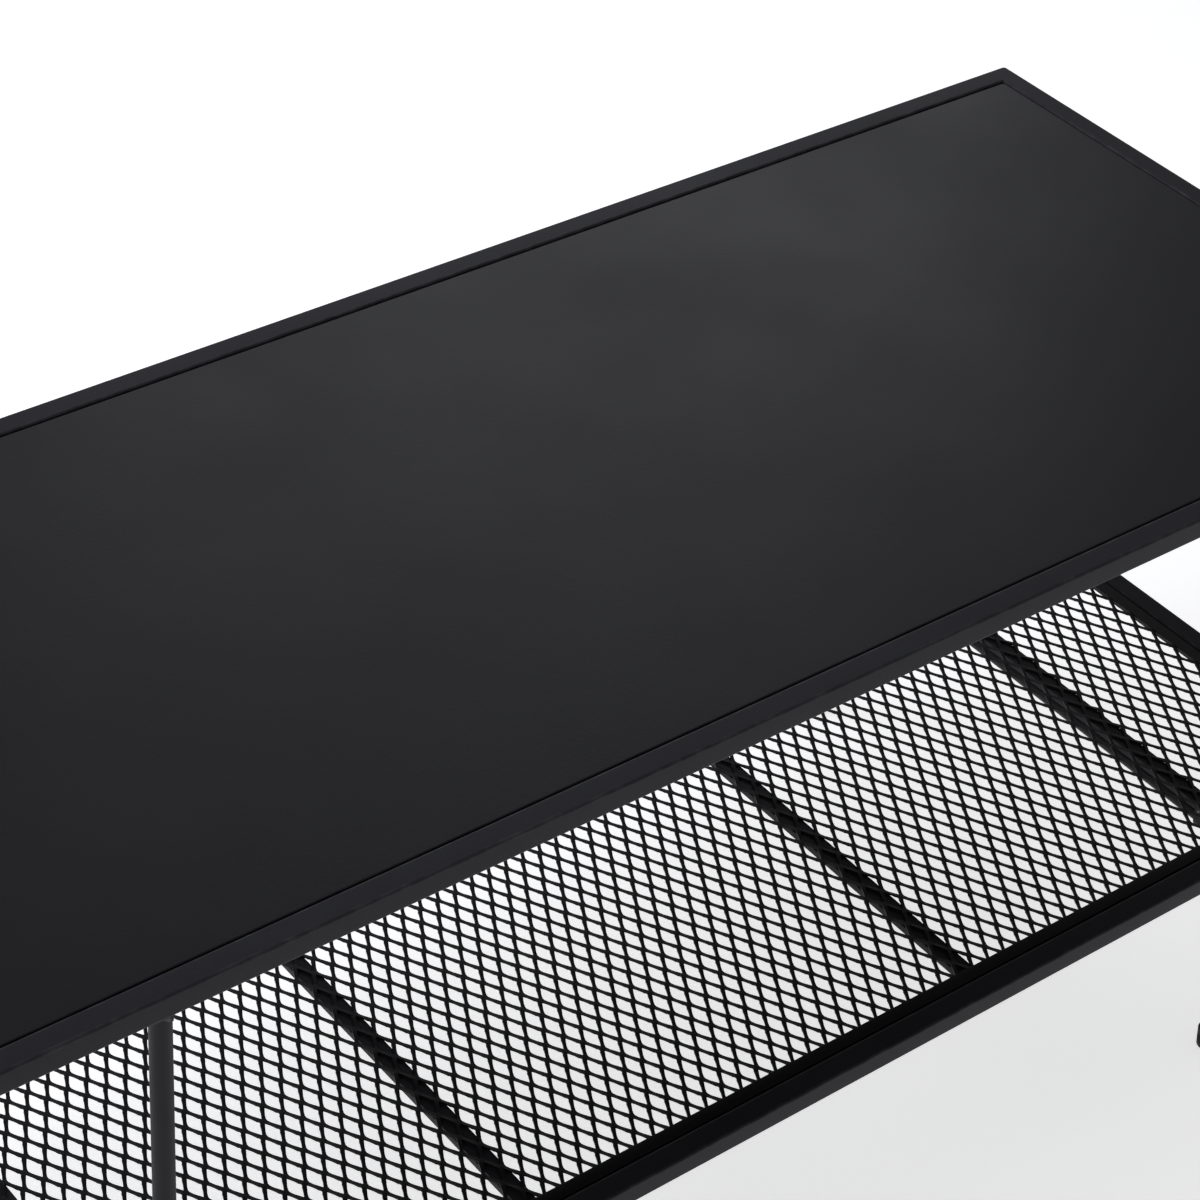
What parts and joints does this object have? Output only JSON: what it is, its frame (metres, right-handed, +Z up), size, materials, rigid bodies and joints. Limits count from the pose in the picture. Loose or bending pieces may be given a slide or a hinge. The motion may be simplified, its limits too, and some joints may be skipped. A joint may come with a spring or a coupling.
{
  "type": "folding side table",
  "caption": "Two stacked folding racks of black square tube: a steel panel on top, an expanded-mesh shelf below, and bent-tube leg frames that fold inward.",
  "frame": {"origin": "on the ground, under the middle of the table", "axes": "+X along the table to its right end, +Y across it to the far side, +Z up"},
  "size_m": [1.075, 0.45, 0.5154],
  "materials": {
    "panel_paint": "satin black-grey powder coat on steel sheet",
    "rail_paint": "satin black powder coat on square tube",
    "mesh_paint": "satin black powder coat on expanded steel",
    "leg_paint": "satin black powder coat on tube",
    "rubber": "matte black rubber",
    "zinc": "blackened steel rivet"
  },
  "bodies": {
    "lower_rack": {"lower_frame": "rail_paint", "lower_bar_right_end": "rail_paint", "lower_bar_right_mid": "rail_paint", "lower_hinge_strap_right_near": "rail_paint", "lower_strap_rivet_right_near": "zinc", "lower_leg_stop_right_near": "rail_paint", "lower_hinge_strap_right_far": "rail_paint", "lower_strap_rivet_right_far": "zinc", "lower_leg_stop_right_far": "rail_paint", "lower_bar_left_end": "rail_paint", "lower_bar_left_mid": "rail_paint", "lower_hinge_strap_left_near": "rail_paint", "lower_strap_rivet_left_near": "zinc", "lower_leg_stop_left_near": "rail_paint", "lower_hinge_strap_left_far": "rail_paint", "lower_strap_rivet_left_far": "zinc", "lower_leg_stop_left_far": "rail_paint", "mesh_insert": "mesh_paint", "foot_stop_right_near": "rail_paint", "foot_stop_right_far": "rail_paint", "foot_stop_left_near": "rail_paint", "foot_stop_left_far": "rail_paint"},
    "upper_rack": {"upper_frame": "rail_paint", "upper_bar_right_end": "rail_paint", "upper_bar_right_mid": "rail_paint", "upper_hinge_strap_right_near": "rail_paint", "upper_strap_rivet_right_near": "zinc", "upper_leg_stop_right_near": "rail_paint", "upper_hinge_strap_right_far": "rail_paint", "upper_strap_rivet_right_far": "zinc", "upper_leg_stop_right_far": "rail_paint", "upper_bar_left_end": "rail_paint", "upper_bar_left_mid": "rail_paint", "upper_hinge_strap_left_near": "rail_paint", "upper_strap_rivet_left_near": "zinc", "upper_leg_stop_left_near": "rail_paint", "upper_hinge_strap_left_far": "rail_paint", "upper_strap_rivet_left_far": "zinc", "upper_leg_stop_left_far": "rail_paint", "table_panel": "panel_paint"},
    "lower_legs_right": {"lower_leg_frame_right": "leg_paint", "lower_foot_right_near": "rubber", "lower_foot_right_far": "rubber"},
    "lower_legs_left": {"lower_leg_frame_left": "leg_paint", "lower_foot_left_near": "rubber", "lower_foot_left_far": "rubber"},
    "upper_legs_right": {"upper_leg_frame_right": "leg_paint", "upper_foot_right_near": "rubber", "upper_foot_right_far": "rubber"},
    "upper_legs_left": {"upper_leg_frame_left": "leg_paint", "upper_foot_left_near": "rubber", "upper_foot_left_far": "rubber"}
  },
  "joints": [
    {"name": "upper_rack_lift", "type": "slide", "parent": "lower_rack", "child": "upper_rack", "axis": [0, 0, 1], "range_m": [0, 0.1]},
    {"name": "lower_legs_right_fold", "type": "hinge", "parent": "lower_rack", "child": "lower_legs_right", "pos_m": [0.4113, 0, 0.1809], "axis": [0, 1, 0], "range_deg": [0, 88]},
    {"name": "lower_legs_left_fold", "type": "hinge", "parent": "lower_rack", "child": "lower_legs_left", "pos_m": [-0.4113, 0, 0.1809], "axis": [0, -1, 0], "range_deg": [0, 88]},
    {"name": "upper_legs_right_fold", "type": "hinge", "parent": "upper_rack", "child": "upper_legs_right", "pos_m": [0.4113, 0, 0.5013], "axis": [0, 1, 0], "range_deg": [0, 88.5]},
    {"name": "upper_legs_left_fold", "type": "hinge", "parent": "upper_rack", "child": "upper_legs_left", "pos_m": [-0.4113, 0, 0.5013], "axis": [0, -1, 0], "range_deg": [0, 88.5]}
  ]
}
